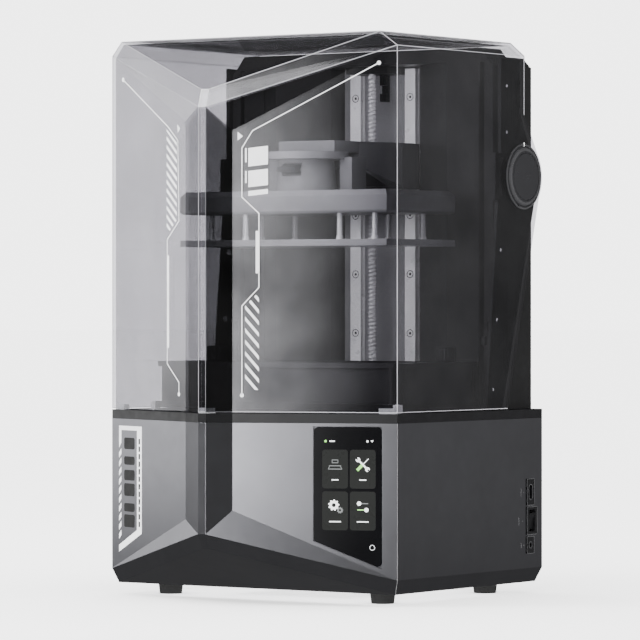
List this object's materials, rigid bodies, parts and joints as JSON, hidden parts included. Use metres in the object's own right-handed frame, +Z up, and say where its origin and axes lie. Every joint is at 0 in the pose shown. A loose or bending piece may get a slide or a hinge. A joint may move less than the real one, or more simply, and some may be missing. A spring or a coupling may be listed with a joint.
{
  "type": "resin printer",
  "caption": "Resin printer with a flip-up faceted smoke cover, screw-driven build platform, tilting vat and front touch screen on a faceted base.",
  "frame": {"origin": "under the middle of the object's box, on the surface the feet stand on", "axes": "+Z up, front prow faces -Y, ports on the +X side"},
  "size_m": [0.334, 0.3292, 0.5265],
  "materials": {
    "gunmetal_shell": "satin metallic",
    "black_trim": "satin",
    "tower_plastic": "fine textured",
    "deck_paint": "satin",
    "rubber": "matte",
    "steel": "brushed",
    "chrome_rod": "polished",
    "aluminium": "anodised",
    "platform_metal": "satin anodised",
    "brass": "machined",
    "smoke_cover": "clear gloss",
    "screen_glass": "gloss",
    "display_glass": "gloss",
    "clear_film": "clear gloss",
    "circuit_board": "satin",
    "light_trim": "clear"
  },
  "bodies": {
    "base": {"base_shell": "gunmetal_shell", "base_rim": "black_trim", "deck_plate": "deck_paint", "bottom_plate": "steel", "feet": "rubber", "foot_screws": "steel", "exposure_panel": "display_glass", "lens_sheet": "clear_film", "light_box": "black_trim", "led_board": "circuit_board", "heat_sink": "aluminium", "fan_frame": "black_trim", "mainboard": "circuit_board", "board_posts": "steel", "rear_vent": "black_trim", "screen_glass": "screen_glass", "screen_module": "steel", "usb_port": "black_trim", "switch_body": "black_trim", "power_inlet": "black_trim", "tower_shell": "tower_plastic", "tower_cap": "tower_plastic", "tower_back": "black_trim", "side_panels": "tower_plastic", "hinge_brackets": "steel", "hinge_pins": "steel", "column": "aluminium", "rails": "steel", "rail_screws": "steel", "lift_motor": "black_trim", "top_bearing": "tower_plastic", "limit_sensor": "black_trim", "chamber_camera": "black_trim", "cover_stop": "black_trim", "cradle_pins": "steel"},
    "cooling_fan": {"fan_rotor": "black_trim"},
    "rocker": {"switch_rocker": "black_trim"},
    "cover": {"cover_shell": "smoke_cover", "arm_left": "black_trim", "arm_right": "black_trim", "arm_screws": "steel", "hinge_discs": "black_trim", "cover_pads": "light_trim"},
    "screw": {"lift_screw": "chrome_rod", "motor_coupling": "aluminium"},
    "carriage": {"carriage_blocks": "steel", "carriage_bracket": "platform_metal", "lift_nut": "brass", "mount_body": "platform_metal", "platform_block": "platform_metal", "pin_springs": "chrome_rod"},
    "lever": {"release_lever": "black_trim"},
    "plate": {"build_plate": "platform_metal", "sprung_pins": "chrome_rod"},
    "vat": {"cradle": "black_trim", "vat_tub": "deck_paint", "film_frame": "steel", "vat_film": "clear_film"},
    "left_knob": {"knob_left": "black_trim"},
    "right_knob": {"knob_right": "black_trim"}
  },
  "joints": [
    {"name": "cover_hinge", "type": "hinge", "parent": "base", "child": "cover", "pos_m": [0, 0.131, 0.3982], "axis": [-1, 0, 0], "range_deg": [0, 95]},
    {"name": "platform_lift", "type": "slide", "parent": "base", "child": "carriage", "axis": [0, 0, 1], "range_m": [-0.1465, 0.062]},
    {"name": "screw_turn", "type": "hinge", "parent": "base", "child": "screw", "pos_m": [0, 0.116, 0.3], "axis": [0, 0, 1], "range_deg": [-14400, 14400]},
    {"name": "plate_float", "type": "slide", "parent": "carriage", "child": "plate", "axis": [0, 0, 1], "range_m": [0, 0.0012], "stiffness_N_per_m": 4000, "deforming": ["pin_springs"]},
    {"name": "lever_turn", "type": "hinge", "parent": "carriage", "child": "lever", "pos_m": [0, -0.02, 0.404], "axis": [-1, 0, 0], "range_deg": [0, 35]},
    {"name": "vat_tilt", "type": "hinge", "parent": "base", "child": "vat", "pos_m": [0, -0.049, 0.182], "axis": [1, 0, 0], "range_deg": [0, 4]},
    {"name": "left_knob_turn", "type": "hinge", "parent": "vat", "child": "left_knob", "pos_m": [-0.133, 0.042, 0.22], "axis": [0, 0, 1], "range_deg": [-180, 180]},
    {"name": "right_knob_turn", "type": "hinge", "parent": "vat", "child": "right_knob", "pos_m": [0.133, 0.042, 0.22], "axis": [0, 0, 1], "range_deg": [-180, 180]},
    {"name": "power_rocker", "type": "hinge", "parent": "base", "child": "rocker", "pos_m": [0.1582, 0.1453, 0.0698], "axis": [0, 1, 0], "range_deg": [0, 16]},
    {"name": "fan_spin", "type": "hinge", "parent": "base", "child": "cooling_fan", "pos_m": [0, 0.021, 0.06], "axis": [0, 0, 1], "continuous": true}
  ],
  "couplings": [
    {"joint": "screw_turn", "follows": "platform_lift", "rad_per_m": 1570.8}
  ]
}
